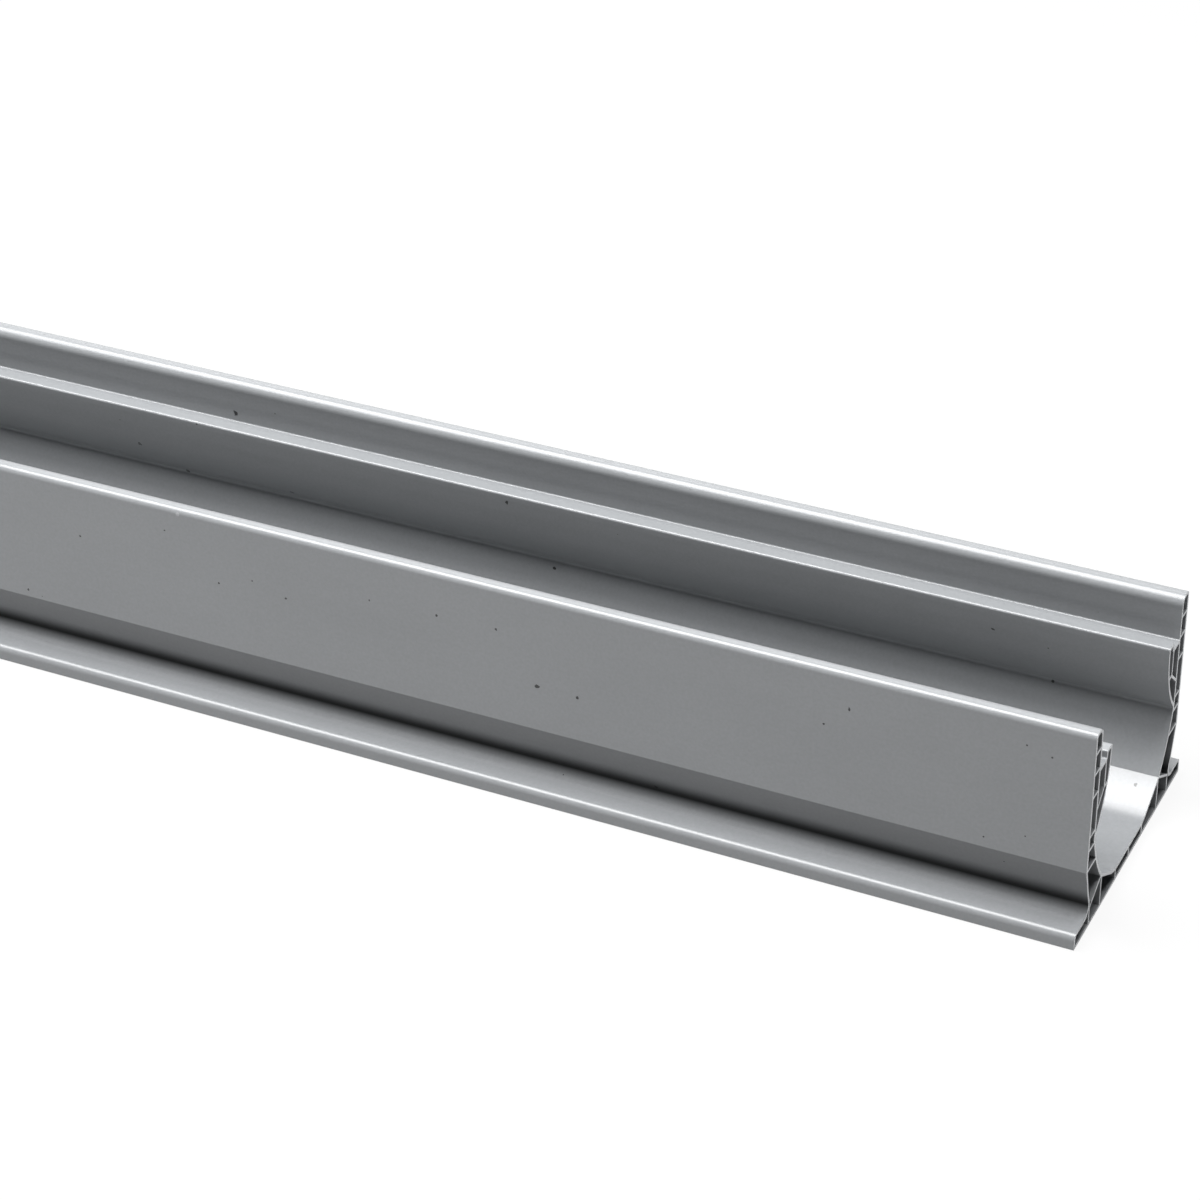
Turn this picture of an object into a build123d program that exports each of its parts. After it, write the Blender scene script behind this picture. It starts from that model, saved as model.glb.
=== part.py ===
from build123d import *
import os

# Channel drain: one straight length of extruded rigid PVC.
# The trough, its two hollow walls, the seats for the grate and the foot flanges are
# one multi-chamber section, drawn out along X and sawn square at both ends.
# Millimetres. X runs along the channel, Y across it and Z up from its underside.

# Overall sizes
length = 1000.0
flange_width = 160.0  # across both foot flanges
height = 113.0
skin = 1.6  # every wall that faces the outside or the trough
web = 1.3  # every rib between two chambers

# Foot flanges
flange_thickness = 8.5
nose_radius = 3.2  # upper edge of the flange
toe_radius = 0.8  # lower edge of the flange
foot_radius = 5.0  # where the wall stands on the flange

# Outside of the walls
wall_width = 137.0  # across both walls, from the crease up
crease_height = 36.6  # the wall draws in below this crease
tuck_width = 129.6  # across both walls at the lower end of the flat under the crease
tuck_height = 24.0
foot_width = 115.0  # across both walls, where they meet the flanges
crown_outer_radius = 3.0
crown_inner_radius = 5.0

# Recess for the grate
grate_width = 116.8
grate_clearance = 0.5  # at each side of the grate
seat_height = 89.4
seat_breadth = 8.7
lip_rise = 4.0  # the inner lip stands this far above the seat
lip_nose_radius = 1.2
lip_back_radius = 0.8
seat_radius = 0.8  # where the seat meets the wall

# Trough
throat_width = 86.0  # between the two lips
lip_face = 3.4  # upright height of the lip's face, above the bracket's curve
waist_height = 51.0  # the trough is widest here
waist_radius = 3.0
trough_radius = 80.0
haunch_height = 19.5  # the trough's wall meets the sloping floor here
haunch_width = 86.0
floor_width = 44.0  # between the two bends of the floor
floor_bend_radius = 20.0
floor_thickness = 7.5

# Ribs
seat_rung_rise = 1.0  # a level rib in the wall, this far above the seat
bracket_rung_drop = 11.6  # one this far below the seat
waist_rung_rise = 5.0  # one this far above the waist
waist_rung_drop = 2.8  # and one this far below the waist
crease_rib_length = 15.0  # one from the crease to the trough
bracket_rib_inset = 7.5  # the bracket's upright rib stands this far behind the lip
knot_drop = 15.4  # it ends in a knot with two braces, this far below the seat
brace_fall = 8.0  # the outer brace falls this far from the knot to the wall
foot_rib_offset = 1.7  # the foot's upright rib stands this far outside the foot
foot_rib_rise = 2.3  # it meets the haunch's rib this far above the flange
floor_rib = 20.0  # an upright rib at each side of the middle one

# Half sizes and levels that follow from those above
flange_half = flange_width / 2
wall_half = wall_width / 2
recess_half = grate_width / 2 + grate_clearance
throat_half = throat_width / 2
foot_half = foot_width / 2
haunch_half = haunch_width / 2
seat_edge = recess_half - seat_breadth
lip_height = seat_height + lip_rise
bracket_height = lip_height - lip_face
inner_skin = recess_half + skin / 2
foot_knot = (foot_half + foot_rib_offset, flange_thickness + foot_rib_rise)
bracket_rib = throat_half + bracket_rib_inset
knot = (bracket_rib, seat_height - knot_drop)
brace_end = (inner_skin, knot[1] - brace_fall)
seat_rung = seat_height + seat_rung_rise
crown_rung = (height + seat_rung) / 2
bracket_rung = seat_height - bracket_rung_drop
bulb_rung = waist_height + waist_rung_rise
waist_rung = waist_height - waist_rung_drop

# Corners of the right half of the section, as (Y, Z)
toe = (flange_half, 0)
nose = (flange_half, flange_thickness)
foot = (foot_half, flange_thickness)
tuck = (tuck_width / 2, tuck_height)
crease = (wall_half, crease_height)
crown_outer = (wall_half, height)
crown_inner = (recess_half, height)
seat_corner = (recess_half, seat_height)
lip_foot = (seat_edge, seat_height)
lip_back = (seat_edge, lip_height)
lip_nose = (throat_half, lip_height)
bracket_top = (throat_half, bracket_height)
waist = (recess_half, waist_height)
haunch = (haunch_half, haunch_height)
floor_edge = (floor_width / 2, floor_thickness)


def rounded(radius, point):
    """Round the outline's corner at this point and at its mirror image."""
    y, z = point
    at_corner = outline.vertices().filter_by(
        lambda v: abs(abs(v.X) - y) < 0.01 and abs(v.Y - z) < 0.01
    )
    fillet(at_corner, radius=radius)


def rib(thickness, start, end):
    """A straight rib between two points of the right half."""
    with BuildLine() as spine:
        Line(start, end)
    trace(spine.line, line_width=thickness)


# Outline of the section, with the trough and the recess open at the top
with BuildSketch() as outline:
    with BuildLine():
        Polyline((0, 0), toe, nose, foot)
        TangentArc(tuck, foot, tangent=(tuck[0] - crease[0], tuck[1] - crease[1]))
        Polyline(tuck, crease, crown_outer, crown_inner, seat_corner, lip_foot)
        Polyline(lip_foot, lip_back, lip_nose, bracket_top)
        TangentArc(bracket_top, waist, tangent=(0, -1))
        RadiusArc(waist, haunch, trough_radius)
        Polyline(haunch, floor_edge, (0, floor_thickness))
        mirror(about=Plane.YZ)
    make_face()
    rounded(toe_radius, toe)
    rounded(nose_radius, nose)
    rounded(foot_radius, foot)
    rounded(crown_outer_radius, crown_outer)
    rounded(crown_inner_radius, crown_inner)
    rounded(seat_radius, seat_corner)
    rounded(seat_radius, lip_foot)
    rounded(lip_back_radius, lip_back)
    rounded(lip_nose_radius, lip_nose)
    rounded(waist_radius, waist)
    rounded(floor_bend_radius, floor_edge)

# Hollow inside the skins, divided into chambers by the ribs
with BuildSketch() as chambers:
    add(outline.sketch)
    offset(amount=-skin, mode=Mode.REPLACE)
    with BuildSketch(mode=Mode.SUBTRACT):
        rib(skin, (inner_skin, seat_rung), (inner_skin, waist_rung))
        for rung in (crown_rung, seat_rung, bracket_rung, bulb_rung):
            rib(web, (inner_skin, rung), (wall_half, rung))
        rib(web, (inner_skin - skin, waist_rung), (wall_half, waist_rung))
        rib(web, (wall_half - crease_rib_length, crease_height), crease)
        rib(web, (bracket_rib, seat_height), knot)
        rib(web, (throat_half, knot[1]), knot)
        rib(web, knot, brace_end)
        rib(web, haunch, foot_knot)
        rib(web, haunch, (haunch_half, 0))
        rib(web, (foot_knot[0], 0), foot_knot)
        rib(web, (floor_rib, 0), (floor_rib, floor_thickness))
        rib(web, (0, 0), (0, floor_thickness))
        mirror(about=Plane.YZ)

# The channel
with BuildPart() as channel:
    with BuildSketch(Plane.YZ):
        add(outline.sketch)
        add(chambers.sketch, mode=Mode.SUBTRACT)
    extrude(amount=length / 2, both=True)
channel.part.label = "channel"

os.makedirs("parts", exist_ok=True)
export_step(channel.part, "parts/channel.step")
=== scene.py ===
from math import atan2, pi, tau

import bpy
from mathutils import Euler, Matrix, Vector


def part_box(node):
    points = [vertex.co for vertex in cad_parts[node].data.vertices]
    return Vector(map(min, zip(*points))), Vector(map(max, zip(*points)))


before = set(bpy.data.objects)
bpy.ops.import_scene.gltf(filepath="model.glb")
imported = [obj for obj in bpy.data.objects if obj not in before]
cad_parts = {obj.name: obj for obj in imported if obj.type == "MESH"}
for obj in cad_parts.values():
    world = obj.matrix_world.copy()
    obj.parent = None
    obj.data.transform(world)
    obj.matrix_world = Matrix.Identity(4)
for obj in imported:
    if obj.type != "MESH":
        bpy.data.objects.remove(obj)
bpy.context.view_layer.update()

bl_info = {
    "name": "Channel drain in extruded grey PVC",
    "version": (1, 0, 0),
    "blender": (4, 5, 0),
    "location": "3D View > Sidebar > Drain",
    "description": "Finishes the multi-chamber channel drain and sets it on a pale studio floor",
    "category": "Object",
}

MM = 0.001
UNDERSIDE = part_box("channel")[0].z
FLOOR_GAP = 0.02 * MM  # keeps the floor's face clear of the channel's underside

# Dark marks that stand out: place along, across and up, and radius, in millimetres
OUTER_FACE = -68.5  # just proud of the near wall, across
DARK_MARKS = (
    # outer wall
    (218.9, OUTER_FACE, 62.2, 1.3),
    (240.6, OUTER_FACE, 61.5, 0.8),
    (127.2, OUTER_FACE, 87.8, 0.9),
    (164.7, OUTER_FACE, 88.6, 0.8),
    (197.4, OUTER_FACE, 89.2, 0.7),
    (79.2, OUTER_FACE, 76.3, 0.7),
    (10.1, OUTER_FACE, 98.8, 0.6),
    (381.4, OUTER_FACE, 94.2, 0.9),
    (368.8, OUTER_FACE, 82.4, 0.6),
    (467.8, OUTER_FACE, 98.8, 0.6),
    (-79.2, OUTER_FACE, 40.9, 0.9),
    (-42.3, OUTER_FACE, 82.5, 0.6),
    # foot of the wall
    (279.3, -61.6, 16.1, 1.2),
    # recess, bracket and waist of the other wall
    (-25.2, 58.9, 94.2, 1.6),
    (145.9, 43.0, 88.5, 1.1),
    (411.5, 43.8, 81.0, 0.9),
    (-81.6, 47.4, 68.4, 1.3),
    (8.9, 54.9, 55.6, 1.2),
    (-59.3, 58.4, 51.1, 1.3),
    (438.9, 58.5, 49.3, 0.9),
    (165.5, 57.4, 45.9, 0.9),
    # sloping floor by the sawn end
    (490.7, 37.4, 16.3, 1.0),
)
# Pale chip on the crown of the near wall, in the same form
PALE_CHIP = (18.7, -68.4, 110.2, 1.1)

MARK_SPREAD = 1.8  # a mark's ragged edge is this many radii away where the noise is 1

# Where the patterns begin and end on the section, in metres
SHADE_UP_WALL = (13 * MM, 24.8 * MM)  # painted shade full at the first height, down to the faint painted shade at the second
SHADE_OFF_FLANGE = (9.1 * MM, 13.7 * MM)  # from the flange's painted shade to the wall's painted shade
SHADE_ON_FLANGE = (66 * MM, 76 * MM)  # painted shade beside the wall, thinning out across the flange
CREASE_SHADE_TOP = (36.4 * MM, 37.0 * MM)  # the faint painted shade below the crease ends at the crease
OUTSIDE = (56.5 * MM, 57.3 * MM)  # across, keeps the painted shade and the dust out of the trough
DULL_ACROSS = (66.5 * MM, 70 * MM)  # the flange is dull nearer to the wall than this
DULL_UP = (14 * MM, 26 * MM)  # and the wall is dull lower than this
SEAT_TOP = 90.2 * MM
SAG_SPAN = (90.4 * MM, 101.7 * MM)  # from one rib behind the recess's wall to the next
RECESS_FACE = (59.2 * MM, 60.8 * MM)

# Shape of the patterns
DRAWN_OUT = (0.004, 1.0, 1.0)  # the die's lines are this much longer than wide
FLOW = (0.4, 1.0, 1.0)  # the clouds are drawn out less
NOISE_LOW = 0.3  # a noise rarely leaves this span
NOISE_HIGH = 0.7
DIE_SWING = 0.008
GRAIN_SWING = 0.04
SPECK_CELLS = 0.16  # share of the cells that hold a speck
RAGGED = 1.5 * MM
FLAT_ON = 0.7  # a face turned this far towards the length is a sawn end
BLADE_CENTRE = (0.0, 0.16, 0.30)  # the saw marks run round this point, in metres
WAVE_PERIOD = 0.314  # of a wave texture at scale 1, in metres
BLADE_DEPTH = 0.02 * MM

# Gloss
PVC_IOR = 1.53
SKIN_ROUGHNESS = (0.29, 0.305)
# roughness where shade is painted at the foot, and where dust lies
SHADE_AND_DUST_ROUGHNESS = 0.8
SKIN_SHEEN = 0.5
# specular level where shade is painted at the foot
SHADE_SHEEN = 0.1
SAWN_ROUGHNESS = 0.6

FLOOR_GRAIN = 40.0
SENSOR_WIDTH = 36.0
CLIP = (0.05, 100.0)

# Helpers


def to_linear(hex_colour):
    """An sRGB hex colour as the linear RGBA that a shader takes."""
    parts = [int(hex_colour.lstrip("#")[i:i + 2], 16) / 255 for i in (0, 2, 4)]
    return [c / 12.92 if c <= 0.04045 else ((c + 0.055) / 1.055) ** 2.4 for c in parts] + [1.0]


def add(tree, kind, inputs=None, **settings):
    """Adds a node. inputs gives each socket a value or the socket that feeds it."""
    node = tree.nodes.new(kind)
    for name, value in settings.items():
        setattr(node, name, value)
    for name, value in (inputs or {}).items():
        if isinstance(value, bpy.types.NodeSocket):
            tree.links.new(value, node.inputs[name])
        else:
            node.inputs[name].default_value = value
    return node


def new_material(name):
    """An empty node material with its output node."""
    material = bpy.data.materials.new(name)
    material.use_nodes = True
    material.node_tree.nodes.clear()
    return material, material.node_tree, add(material.node_tree, "ShaderNodeOutputMaterial")


# Materials


def die_pattern(tree, place, size):
    """The fine lines that the die draws along the length."""
    drawn = add(tree, "ShaderNodeVectorMath", {0: place, 1: DRAWN_OUT}, operation="MULTIPLY")
    return add(
        tree, "ShaderNodeTexNoise",
        {"Vector": drawn.outputs[0], "Scale": 1 / size.die_line, "Detail": 3.0, "Roughness": 0.6},
    ).outputs["Fac"]


def skin_tone(tree, place, die_lines, size):
    """Clean grey skin: soft clouds of tone, the die's lines and a fine mottling."""
    flow = add(tree, "ShaderNodeVectorMath", {0: place, 1: FLOW}, operation="MULTIPLY")
    cloud = add(
        tree, "ShaderNodeTexNoise",
        {"Vector": flow.outputs[0], "Scale": 1 / size.cloud, "Detail": 4.0, "Roughness": 0.55},
    ).outputs["Fac"]
    grain = add(
        tree, "ShaderNodeTexNoise", {"Vector": place, "Scale": 1 / size.grain, "Detail": 2.0}
    ).outputs["Fac"]
    tone = add(
        tree, "ShaderNodeMix",
        {0: cloud, 6: to_linear(size.skin_dark), 7: to_linear(size.skin_light)},
        data_type="RGBA",
    ).outputs[2]
    for pattern, swing in ((die_lines, DIE_SWING), (grain, GRAIN_SWING)):
        lined = add(
            tree, "ShaderNodeMapRange",
            {"Value": pattern, "From Min": NOISE_LOW, "From Max": NOISE_HIGH,
             "To Min": 1 - swing, "To Max": 1 + swing},
        ).outputs[0]
        tone = add(
            tree, "ShaderNodeVectorMath", {0: tone, "Scale": lined}, operation="SCALE"
        ).outputs[0]
    return tone


def foot_painted_shade(tree, height, across, size):
    """How far shade is painted on the skin: a faint painted shade below the crease, full in the
    foot's corner, and a little beside the wall on the flange.

    Also returns the mask of the outside, which keeps the painted shade out of the trough.
    """
    # Painted shade up the wall: full in the foot's corner, fading up to the faint painted shade
    # below the crease
    up_wall = add(
        tree, "ShaderNodeMapRange",
        {"Value": height, "From Min": SHADE_UP_WALL[0], "From Max": SHADE_UP_WALL[1],
         "To Min": 1.0, "To Max": 0.0},
        interpolation_type="SMOOTHSTEP",
    ).outputs[0]
    faint_shade = add(
        tree, "ShaderNodeMapRange",
        {"Value": height, "From Min": CREASE_SHADE_TOP[0], "From Max": CREASE_SHADE_TOP[1],
         "To Min": size.crease_shade_share, "To Max": 0.0},
    ).outputs[0]
    on_wall = add(tree, "ShaderNodeMix", {0: up_wall, 2: faint_shade, 3: size.corner_shade_share}).outputs[0]
    outside = add(
        tree, "ShaderNodeMapRange",
        {"Value": across, "From Min": OUTSIDE[0], "From Max": OUTSIDE[1]},
        interpolation_type="SMOOTHSTEP",
    ).outputs[0]
    on_wall = add(
        tree, "ShaderNodeMath", {0: on_wall, 1: outside}, operation="MULTIPLY"
    ).outputs[0]
    # Painted shade on the flange beside the wall, thinning out across it
    on_flange = add(
        tree, "ShaderNodeMapRange",
        {"Value": across, "From Min": SHADE_ON_FLANGE[0], "From Max": SHADE_ON_FLANGE[1],
         "To Min": size.flange_shade_share, "To Max": 0.0},
        interpolation_type="SMOOTHSTEP",
    ).outputs[0]
    off_flange = add(
        tree, "ShaderNodeMapRange",
        {"Value": height, "From Min": SHADE_OFF_FLANGE[0], "From Max": SHADE_OFF_FLANGE[1]},
    ).outputs[0]
    painted_shade = add(tree, "ShaderNodeMix", {0: off_flange, 2: on_flange, 3: on_wall}).outputs[0]
    return painted_shade, outside


def foot_dust(tree, height, across, outside):
    """Where dust takes the gloss off: on the wall's foot and the flange beside it."""
    beside_wall = add(
        tree, "ShaderNodeMapRange",
        {"Value": across, "From Min": DULL_ACROSS[0], "From Max": DULL_ACROSS[1],
         "To Min": 1.0, "To Max": 0.0},
        interpolation_type="SMOOTHSTEP",
    ).outputs[0]
    low = add(
        tree, "ShaderNodeMapRange",
        {"Value": height, "From Min": DULL_UP[0], "From Max": DULL_UP[1],
         "To Min": 1.0, "To Max": 0.0},
    ).outputs[0]
    dusty = add(tree, "ShaderNodeMath", {0: beside_wall, 1: low}, operation="MULTIPLY").outputs[0]
    return add(tree, "ShaderNodeMath", {0: dusty, 1: outside}, operation="MULTIPLY").outputs[0]


def away_from(tree, place, mark):
    """How far the surface is from a mark's middle."""
    middle = [part * MM for part in mark[:3]]
    return add(
        tree, "ShaderNodeVectorMath", {0: place, 1: middle}, operation="DISTANCE"
    ).outputs["Value"]


def specks(tree, place, size):
    """Small scattered specks, and the dark marks that stand out."""
    cells = add(tree, "ShaderNodeTexVoronoi", {"Vector": place, "Scale": 1 / size.speck_spacing})
    picked = add(tree, "ShaderNodeSeparateColor", {0: cells.outputs["Color"]})
    radius = add(
        tree, "ShaderNodeMapRange",
        {"Value": picked.outputs[0], "From Min": 1 - SPECK_CELLS, "From Max": 1.0,
         "To Min": 0.0, "To Max": size.speck / size.speck_spacing},
    ).outputs[0]
    speck = add(
        tree, "ShaderNodeMath", {0: cells.outputs["Distance"], 1: radius}, operation="LESS_THAN"
    ).outputs[0]
    ragged = add(
        tree, "ShaderNodeTexNoise", {"Vector": place, "Scale": 1 / RAGGED, "Detail": 1.0}
    ).outputs["Fac"]
    for mark in DARK_MARKS:
        reach = MARK_SPREAD * mark[3] * MM
        edge = add(tree, "ShaderNodeMath", {0: ragged, 1: reach}, operation="MULTIPLY").outputs[0]
        inside = add(
            tree, "ShaderNodeMath", {0: away_from(tree, place, mark), 1: edge},
            operation="LESS_THAN",
        ).outputs[0]
        speck = add(tree, "ShaderNodeMath", {0: speck, 1: inside}, operation="MAXIMUM").outputs[0]
    return speck


def saw_pattern(tree, place, size):
    """The fine arcs that the blade leaves on a sawn end."""
    blade = add(tree, "ShaderNodeVectorMath", {0: place, 1: BLADE_CENTRE}, operation="SUBTRACT")
    return add(
        tree, "ShaderNodeTexWave",
        {"Vector": blade.outputs[0], "Scale": WAVE_PERIOD / size.saw_mark, "Distortion": 2.5,
         "Detail": 2.0},
        wave_type="RINGS", rings_direction="X",
    ).outputs["Fac"]


def sawn_face(tree):
    """1 on a face that looks along the length, which is a sawn end."""
    normal = add(tree, "ShaderNodeNewGeometry").outputs["Normal"]
    facing = add(tree, "ShaderNodeSeparateXYZ", {0: normal})
    along = add(tree, "ShaderNodeMath", {0: facing.outputs[0]}, operation="ABSOLUTE").outputs[0]
    return add(
        tree, "ShaderNodeMath", {0: along, 1: FLAT_ON}, operation="GREATER_THAN"
    ).outputs[0]


def recess_relief(tree, height, across, lines, size):
    """The recess's wall, drawn in between its ribs as the extrusion cools."""
    turns = add(
        tree, "ShaderNodeMapRange",
        {"Value": height, "From Min": SAG_SPAN[0], "From Max": SAG_SPAN[1],
         "To Min": 0.0, "To Max": tau},
        clamp=False,
    ).outputs[0]
    drawn_in = add(tree, "ShaderNodeMath", {0: turns}, operation="COSINE").outputs[0]
    in_recess = add(
        tree, "ShaderNodeMapRange",
        {"Value": across, "From Min": RECESS_FACE[0], "From Max": RECESS_FACE[1],
         "To Min": 1.0, "To Max": 0.0},
        interpolation_type="SMOOTHSTEP",
    ).outputs[0]
    sag = add(tree, "ShaderNodeMath", {0: drawn_in, 1: in_recess}, operation="MULTIPLY").outputs[0]
    above_seat = add(
        tree, "ShaderNodeMath", {0: height, 1: SEAT_TOP}, operation="GREATER_THAN"
    ).outputs[0]
    return add(
        tree, "ShaderNodeBump",
        {"Height": sag, "Strength": above_seat, "Distance": size.sag / 2, "Normal": lines},
    ).outputs[0]


def extruded_pvc(size):
    """Rigid PVC, extruded and cut to length with a saw.

    The eye gets a satin grey skin with fine die lines along the length, a recess wall drawn in a
    little between its ribs, a few dark specks, painted shade at the foot of the outer walls and
    below their crease, and paler, duller sawn ends.
    """
    material, tree, output = new_material("extruded_rigid_pvc")
    place = add(tree, "ShaderNodeTexCoord").outputs["Object"]
    spot = add(tree, "ShaderNodeSeparateXYZ", {0: place})
    height = spot.outputs["Z"]
    across = add(tree, "ShaderNodeMath", {0: spot.outputs["Y"]}, operation="ABSOLUTE").outputs[0]
    die_lines = die_pattern(tree, place, size)
    painted_shade, outside = foot_painted_shade(tree, height, across, size)
    saw_marks = saw_pattern(tree, place, size)
    sawn = sawn_face(tree)

    # Colour, from the clean skin out
    colour = skin_tone(tree, place, die_lines, size)
    chip = add(
        tree, "ShaderNodeMath", {0: away_from(tree, place, PALE_CHIP), 1: PALE_CHIP[3] * MM},
        operation="LESS_THAN",
    ).outputs[0]
    sawn_tone = add(
        tree, "ShaderNodeMix",
        {0: saw_marks, 6: to_linear(size.sawn_dark), 7: to_linear(size.sawn_light)},
        data_type="RGBA",
    ).outputs[2]
    # The first cover is painted shade: dark in the foot's corner, faint below the crease and on the
    # flange beside the wall
    for share, cover in (
        (painted_shade, to_linear(size.shade_colour)),
        (specks(tree, place, size), to_linear(size.speck_colour)),
        (chip, to_linear(size.chip_colour)),
        (sawn, sawn_tone),
    ):
        colour = add(
            tree, "ShaderNodeMix", {0: share, 6: colour, 7: cover}, data_type="RGBA"
        ).outputs[2]

    # Gloss
    roughness = add(
        tree, "ShaderNodeMapRange",
        {"Value": die_lines, "From Min": NOISE_LOW, "From Max": NOISE_HIGH,
         "To Min": SKIN_ROUGHNESS[0], "To Max": SKIN_ROUGHNESS[1]},
    ).outputs[0]
    dusty = foot_dust(tree, height, across, outside)
    dull = add(tree, "ShaderNodeMath", {0: painted_shade, 1: dusty}, operation="MAXIMUM").outputs[0]
    for share, rough in ((dull, SHADE_AND_DUST_ROUGHNESS), (sawn, SAWN_ROUGHNESS)):
        roughness = add(tree, "ShaderNodeMix", {0: share, 2: roughness, 3: rough}).outputs[0]
    # Less specular level where shade is painted at the foot
    sheen = add(tree, "ShaderNodeMix", {0: painted_shade, 2: SKIN_SHEEN, 3: SHADE_SHEEN}).outputs[0]

    # Relief
    lines = add(
        tree, "ShaderNodeBump",
        {"Height": die_lines, "Strength": 1.0, "Distance": size.die_depth},
    ).outputs[0]
    sag = recess_relief(tree, height, across, lines, size)
    cut = add(
        tree, "ShaderNodeBump",
        {"Height": saw_marks, "Strength": sawn, "Distance": BLADE_DEPTH, "Normal": sag},
    ).outputs[0]

    shader = add(
        tree, "ShaderNodeBsdfPrincipled",
        {"Base Color": colour, "Roughness": roughness, "IOR": PVC_IOR,
         "Specular IOR Level": sheen, "Normal": cut},
    )
    tree.links.new(shader.outputs[0], output.inputs["Surface"])
    return material


def seen_rays(tree):
    """1 for the rays that show the background: the camera's, reflected and refracted ones."""
    path = add(tree, "ShaderNodeLightPath")
    seen = path.outputs["Is Camera Ray"]
    for kind in ("Is Glossy Ray", "Is Transmission Ray"):
        seen = add(
            tree, "ShaderNodeMath", {0: seen, 1: path.outputs[kind]}, operation="MAXIMUM"
        ).outputs[0]
    return seen


def studio_floor(look):
    """A pale painted board. The rays that show it see it near white, and it keeps the shadow."""
    material, tree, output = new_material("painted_floor_board")
    share = add(
        tree, "ShaderNodeMath", {0: seen_rays(tree), 1: look.white_share}, operation="MULTIPLY"
    )
    grain = add(
        tree, "ShaderNodeTexNoise", {"Scale": FLOOR_GRAIN, "Detail": 4.0}
    ).outputs["Fac"]
    paint = add(
        tree, "ShaderNodeMix",
        {0: grain, 6: to_linear(look.floor_dark), 7: to_linear(look.floor_light)},
        data_type="RGBA",
    ).outputs[2]
    board = add(tree, "ShaderNodeBsdfDiffuse", {"Color": paint})
    white = add(tree, "ShaderNodeEmission", {"Color": (1, 1, 1, 1), "Strength": 1.0})
    mixed = add(
        tree, "ShaderNodeMixShader", {0: share.outputs[0], 1: board.outputs[0], 2: white.outputs[0]}
    )
    tree.links.new(mixed.outputs[0], output.inputs["Surface"])
    return material


# Settings


class DrainFinish(bpy.types.PropertyGroup):
    """Colours and pattern sizes of the extruded PVC."""

    skin_dark: bpy.props.StringProperty(
        name="Skin, dark", description="Darker tone of the extruded skin, sRGB hex",
        default="#757779",
    )
    skin_light: bpy.props.StringProperty(
        name="Skin, light", description="Lighter tone of the extruded skin, sRGB hex",
        default="#7D7F81",
    )
    sawn_dark: bpy.props.StringProperty(
        name="Sawn end, dark", description="Darker tone of the sawn ends, sRGB hex",
        default="#C4C6C8",
    )
    sawn_light: bpy.props.StringProperty(
        name="Sawn end, light", description="Lighter tone of the sawn ends, sRGB hex",
        default="#D6D8DA",
    )
    speck_colour: bpy.props.StringProperty(
        name="Speck colour", description="Colour of the dark specks, sRGB hex", default="#1C1D1E"
    )
    chip_colour: bpy.props.StringProperty(
        name="Chip", description="Colour of the pale chip on the crown, sRGB hex",
        default="#8C8E90",
    )
    die_line: bpy.props.FloatProperty(
        name="Die line", description="Width of the lines that the die draws along the length",
        default=2.2 * MM, unit="LENGTH",
    )
    die_depth: bpy.props.FloatProperty(
        name="Die depth", description="Depth of the die lines", default=0.0006 * MM, unit="LENGTH"
    )
    grain: bpy.props.FloatProperty(
        name="Grain",
        description="Size of the mottling, drawn coarser than it is so that it shows",
        default=1.6 * MM, unit="LENGTH",
    )
    sag: bpy.props.FloatProperty(
        name="Sag", description="How far the recess's wall is drawn in between its ribs",
        default=0.06 * MM, unit="LENGTH",
    )
    # The next four settings paint shade: its colour, and how far it covers the skin below the
    # crease, on the flange beside the wall and in the foot's corner
    shade_colour: bpy.props.StringProperty(
        name="Painted shade", description="Colour of the dirt at the foot of the wall, sRGB hex",
        default="#0F1010",
    )
    crease_shade_share: bpy.props.FloatProperty(
        name="Faint shade share", description="How far a thin film of dirt covers the skin by the crease",
        default=0.34, min=0.0, max=1.0, subtype="FACTOR",
    )
    flange_shade_share: bpy.props.FloatProperty(
        name="Flange share", description="How far the film covers the flange beside the wall",
        default=0.1, min=0.0, max=1.0, subtype="FACTOR",
    )
    corner_shade_share: bpy.props.FloatProperty(
        name="Dirt share", description="How far the dirt covers the skin in the corner",
        default=0.97, min=0.0, max=1.0, subtype="FACTOR",
    )
    cloud: bpy.props.FloatProperty(
        name="Cloud", description="Size of the soft changes of tone", default=45 * MM,
        unit="LENGTH",
    )
    speck_spacing: bpy.props.FloatProperty(
        name="Speck spacing", description="Size of the cells that may hold a speck",
        default=10 * MM, unit="LENGTH",
    )
    speck: bpy.props.FloatProperty(
        name="Speck", description="Largest radius of a speck", default=0.6 * MM, unit="LENGTH"
    )
    saw_mark: bpy.props.FloatProperty(
        name="Saw mark", description="Spacing of the marks that the saw leaves",
        default=0.9 * MM, unit="LENGTH",
    )


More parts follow.
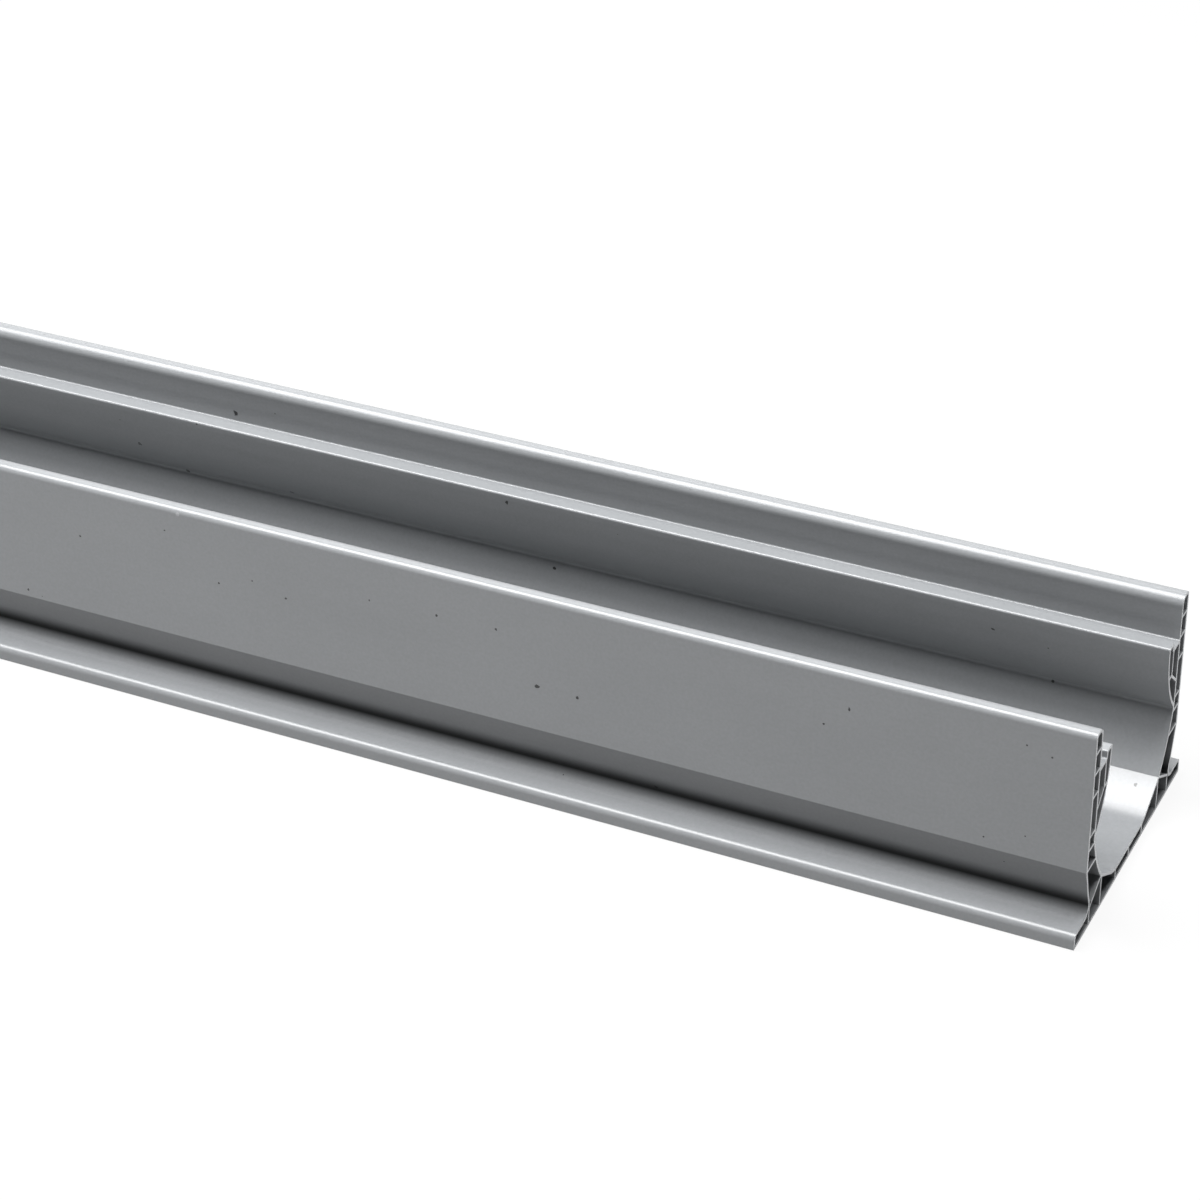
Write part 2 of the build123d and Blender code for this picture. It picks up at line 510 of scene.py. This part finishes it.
class StudioLook(bpy.types.PropertyGroup):
    """Floor, lamp and camera."""

    floor_dark: bpy.props.StringProperty(
        name="Floor, dark", description="Darker tone of the floor, sRGB hex", default="#ADADAD"
    )
    floor_light: bpy.props.StringProperty(
        name="Floor, light", description="Lighter tone of the floor, sRGB hex", default="#B5B5B5"
    )
    white_share: bpy.props.FloatProperty(
        name="White share", description="How much of the floor the camera sees as plain white",
        default=0.9, min=0.0, max=1.0, subtype="FACTOR",
    )
    floor_size: bpy.props.FloatProperty(
        name="Floor size", description="Side of the floor", default=24.0, unit="LENGTH"
    )
    fill: bpy.props.FloatProperty(
        name="Fill", description="Strength of the even light from all round", default=0.01
    )
    key_power: bpy.props.FloatProperty(
        name="Key power", description="Power of the long lamp overhead", default=192.0,
        unit="POWER",
    )
    key_size: bpy.props.FloatVectorProperty(
        name="Key size", description="Length and width of the lamp overhead",
        default=(3.2, 1.2), size=2, unit="LENGTH",
    )
    key_place: bpy.props.FloatVectorProperty(
        name="Key place", description="Middle of the lamp overhead",
        default=(-0.4, -0.09, 2.65), subtype="TRANSLATION",
    )
    front_power: bpy.props.FloatProperty(
        name="Front power", description="Power of the lamp high in front", default=72.0,
        unit="POWER",
    )
    front_size: bpy.props.FloatVectorProperty(
        name="Front size", description="Length and width of the lamp high in front",
        default=(3.2, 0.65), size=2, unit="LENGTH",
    )
    front_place: bpy.props.FloatVectorProperty(
        name="Front place", description="Middle of the lamp high in front",
        default=(-0.75, -1.04, 2.45), subtype="TRANSLATION",
    )
    back_power: bpy.props.FloatProperty(
        name="Back power", description="Power of the lamp behind", default=18.0, unit="POWER"
    )
    back_size: bpy.props.FloatVectorProperty(
        name="Back size", description="Length and width of the lamp behind",
        default=(3.2, 0.7), size=2, unit="LENGTH",
    )
    back_place: bpy.props.FloatVectorProperty(
        name="Back place", description="Middle of the lamp behind",
        default=(-0.1, 1.9, 1.82), subtype="TRANSLATION",
    )
    camera_place: bpy.props.FloatVectorProperty(
        name="Camera place", description="Where the camera stands",
        default=(0.8438, -1.2660, 0.9532), subtype="TRANSLATION",
    )
    camera_turn: bpy.props.FloatProperty(
        name="Camera turn", description="Turn of the view to the left", default=0.45780,
        subtype="ANGLE",
    )
    camera_dip: bpy.props.FloatProperty(
        name="Camera dip", description="Dip of the view below the horizon", default=0.55763,
        subtype="ANGLE",
    )
    camera_roll: bpy.props.FloatProperty(
        name="Camera roll", description="Roll of the camera about its own axis",
        default=-0.01553, subtype="ANGLE",
    )
    camera_lens: bpy.props.FloatProperty(
        name="Lens", description="Focal length on a sensor 36 mm wide", default=99.9,
        subtype="DISTANCE_CAMERA",
    )


# Pieces


class DRAIN_OT_channel(bpy.types.Operator):
    """Give the channel its extruded PVC finish"""

    bl_idname = "drain.channel"
    bl_label = "Channel"

    def execute(self, context):
        material = extruded_pvc(context.scene.drain_finish)
        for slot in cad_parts["channel"].material_slots:
            slot.material = material
        return {"FINISHED"}


# Stage


def lay_floor(scene, look):
    """The flat board under the channel."""
    half = look.floor_size / 2
    mesh = bpy.data.meshes.new("floor")
    mesh.from_pydata(
        [(-half, -half, 0), (half, -half, 0), (half, half, 0), (-half, half, 0)], [],
        [(0, 1, 2, 3)],
    )
    mesh.materials.append(studio_floor(look))
    floor = bpy.data.objects.new("floor", mesh)
    floor.location.z = UNDERSIDE - FLOOR_GAP
    scene.collection.objects.link(floor)


def hang_lamps(scene, look):
    """Three long soft lamps, each turned about the length to face the channel."""
    for name, power, size, place in (
        ("key_lamp", look.key_power, look.key_size, look.key_place),
        ("front_lamp", look.front_power, look.front_size, look.front_place),
        ("back_lamp", look.back_power, look.back_size, look.back_place),
    ):
        lamp = bpy.data.lights.new(name, "AREA")
        lamp.shape = "RECTANGLE"
        lamp.size, lamp.size_y = size
        lamp.energy = power
        hung = bpy.data.objects.new(name, lamp)
        hung.location = place
        hung.rotation_euler.x = atan2(-place[1], place[2])
        scene.collection.objects.link(hung)


def light_world(scene, look):
    """A weak even light from all round, and a white background."""
    world = bpy.data.worlds.new("studio")
    world.use_nodes = True
    tree = world.node_tree
    tree.nodes.clear()
    strength = add(tree, "ShaderNodeMix", {0: seen_rays(tree), 2: look.fill, 3: 1.0}).outputs[0]
    sky = add(tree, "ShaderNodeBackground", {"Color": (1, 1, 1, 1), "Strength": strength})
    add(tree, "ShaderNodeOutputWorld", {"Surface": sky.outputs[0]})
    scene.world = world


def place_camera(scene, look):
    """The camera at the photo's place and angle."""
    camera = bpy.data.cameras.new("camera")
    camera.sensor_width = SENSOR_WIDTH
    camera.lens = look.camera_lens
    camera.clip_start, camera.clip_end = CLIP
    eye = bpy.data.objects.new("camera", camera)
    turn = Euler((pi / 2 - look.camera_dip, 0.0, look.camera_turn)).to_matrix().to_4x4()
    roll = Matrix.Rotation(look.camera_roll, 4, "Z")
    eye.matrix_world = Matrix.Translation(Vector(look.camera_place)) @ turn @ roll
    scene.collection.objects.link(eye)
    scene.camera = eye


class DRAIN_OT_stage(bpy.types.Operator):
    """Set the floor, the lamps, the fill light and the camera"""

    bl_idname = "drain.stage"
    bl_label = "Stage"

    def execute(self, context):
        scene = context.scene
        look = scene.studio_look
        lay_floor(scene, look)
        hang_lamps(scene, look)
        light_world(scene, look)
        place_camera(scene, look)
        scene.view_settings.view_transform = "Standard"
        return {"FINISHED"}


# Panel


class DRAIN_PT_panel(bpy.types.Panel):
    """Lists the drain's pieces and the stage"""

    bl_idname = "DRAIN_PT_panel"
    bl_label = "Channel drain"
    bl_space_type = "VIEW_3D"
    bl_region_type = "UI"
    bl_category = "Drain"

    def draw(self, context):
        for operator, settings in (
            (DRAIN_OT_channel, context.scene.drain_finish),
            (DRAIN_OT_stage, context.scene.studio_look),
        ):
            box = self.layout.box()
            box.operator(operator.bl_idname)
            for name in settings.__annotations__:
                box.prop(settings, name)


CLASSES = (DrainFinish, StudioLook, DRAIN_OT_channel, DRAIN_OT_stage, DRAIN_PT_panel)


def register():
    for cls in CLASSES:
        bpy.utils.register_class(cls)
    bpy.types.Scene.drain_finish = bpy.props.PointerProperty(type=DrainFinish)
    bpy.types.Scene.studio_look = bpy.props.PointerProperty(type=StudioLook)


def unregister():
    del bpy.types.Scene.studio_look
    del bpy.types.Scene.drain_finish
    for cls in reversed(CLASSES):
        bpy.utils.unregister_class(cls)


def main():
    register()
    bpy.ops.drain.channel()
    bpy.ops.drain.stage()


if __name__ == "__main__":
    main()
